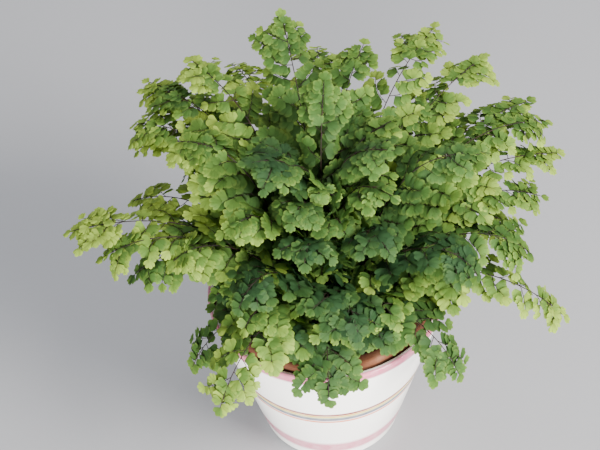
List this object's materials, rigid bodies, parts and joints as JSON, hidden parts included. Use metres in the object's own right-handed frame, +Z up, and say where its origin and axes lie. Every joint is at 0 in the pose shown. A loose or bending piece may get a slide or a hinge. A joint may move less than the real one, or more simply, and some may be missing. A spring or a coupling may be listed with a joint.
{
  "type": "potted maidenhair fern",
  "caption": "A bushy maidenhair fern with wiry stems and small fan-shaped leaflets, growing in a terracotta pot that stands in a tapered glazed planter with soft stripes.",
  "frame": {"origin": "centre of the planter's flat foot", "axes": "+Z up out of the planter, -Y towards the side that the picture shows, +X to its right"},
  "size_m": [0.3686, 0.2942, 0.3203],
  "materials": {
    "glazed_planter": "gloss",
    "terracotta": "matte",
    "compost": "matte",
    "foliage": "satin"
  },
  "bodies": {
    "root": {"planter": "glazed_planter", "clay_pot": "terracotta", "soil": "compost", "frond_01": "foliage", "frond_02": "foliage", "frond_03": "foliage", "frond_04": "foliage", "frond_05": "foliage", "frond_06": "foliage", "frond_07": "foliage", "frond_08": "foliage", "frond_09": "foliage", "frond_10": "foliage", "frond_11": "foliage", "frond_12": "foliage", "frond_13": "foliage", "frond_14": "foliage", "frond_15": "foliage", "frond_16": "foliage", "frond_17": "foliage", "frond_18": "foliage", "frond_19": "foliage", "frond_20": "foliage", "frond_21": "foliage", "frond_22": "foliage", "frond_23": "foliage", "frond_24": "foliage", "frond_25": "foliage", "frond_26": "foliage", "frond_27": "foliage", "frond_28": "foliage", "frond_29": "foliage", "frond_30": "foliage", "frond_31": "foliage", "frond_32": "foliage", "frond_33": "foliage", "frond_34": "foliage", "frond_35": "foliage", "frond_36": "foliage", "frond_37": "foliage", "frond_38": "foliage", "frond_39": "foliage", "frond_40": "foliage", "frond_41": "foliage"}
  },
  "joints": []
}
